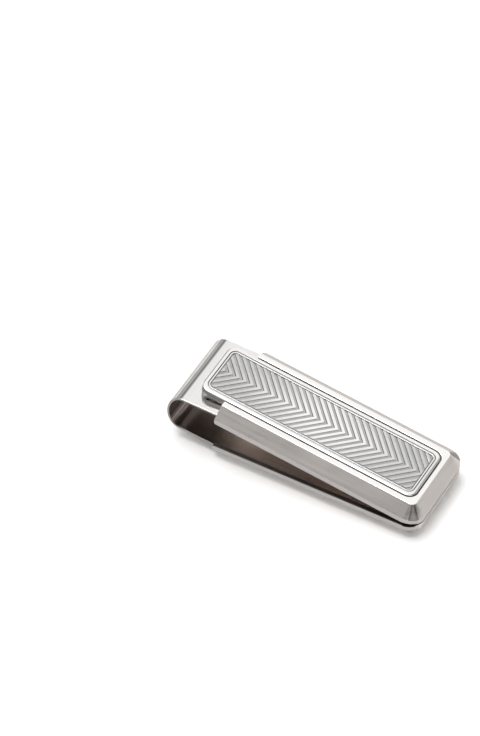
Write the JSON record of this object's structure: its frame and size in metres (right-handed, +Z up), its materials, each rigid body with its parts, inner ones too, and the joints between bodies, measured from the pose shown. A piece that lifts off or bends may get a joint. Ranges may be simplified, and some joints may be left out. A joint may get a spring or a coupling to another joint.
{
  "type": "money clip",
  "caption": "Slim metal money clip: two hinged sprung cases with sliding levers that extend past the bend and are squeezed to open the jaws.",
  "frame": {"origin": "on the surface the clip lies on, under the middle of its box, levers slid in and jaws shut", "axes": "+X along the length towards the jaw end, +Z up out of the patterned face, +Y across the width"},
  "size_m": [0.0518, 0.019, 0.013],
  "materials": {
    "case_steel": "brushed along the length, polished face edges",
    "polished_steel": "polished",
    "satin_inlay": "satin, pressed herringbone ribs",
    "spring_steel": "bright rolled strip"
  },
  "bodies": {
    "lower_half": {"lower_case": "case_steel", "spring_lower_leg": "spring_steel", "spring_bend": "spring_steel", "lower_stop_stud": "spring_steel", "lower_drag_leaf": "spring_steel"},
    "upper_half": {"upper_case": "case_steel", "spring_upper_leg": "spring_steel", "upper_stop_stud": "spring_steel", "upper_drag_leaf": "spring_steel"},
    "upper_lever": {"upper_lever": "polished_steel", "upper_inlay": "satin_inlay"},
    "lower_lever": {"lower_lever": "polished_steel", "lower_inlay": "polished_steel"}
  },
  "joints": [
    {"name": "jaw_hinge", "type": "hinge", "parent": "lower_half", "child": "upper_half", "pos_m": [-0.0236, 0, 0.0064], "axis": [0, -1, 0], "range_deg": [0, 14], "stiffness_Nm_per_rad": 0.5, "springref_deg": -5.73, "deforming": ["spring_bend"]},
    {"name": "upper_lever_slide", "type": "slide", "parent": "upper_half", "child": "upper_lever", "axis": [-0.9907, 0, 0.1357], "range_m": [0, 0.0206]},
    {"name": "lower_lever_slide", "type": "slide", "parent": "lower_half", "child": "lower_lever", "axis": [-1, 0, 0], "range_m": [0, 0.0206]}
  ]
}
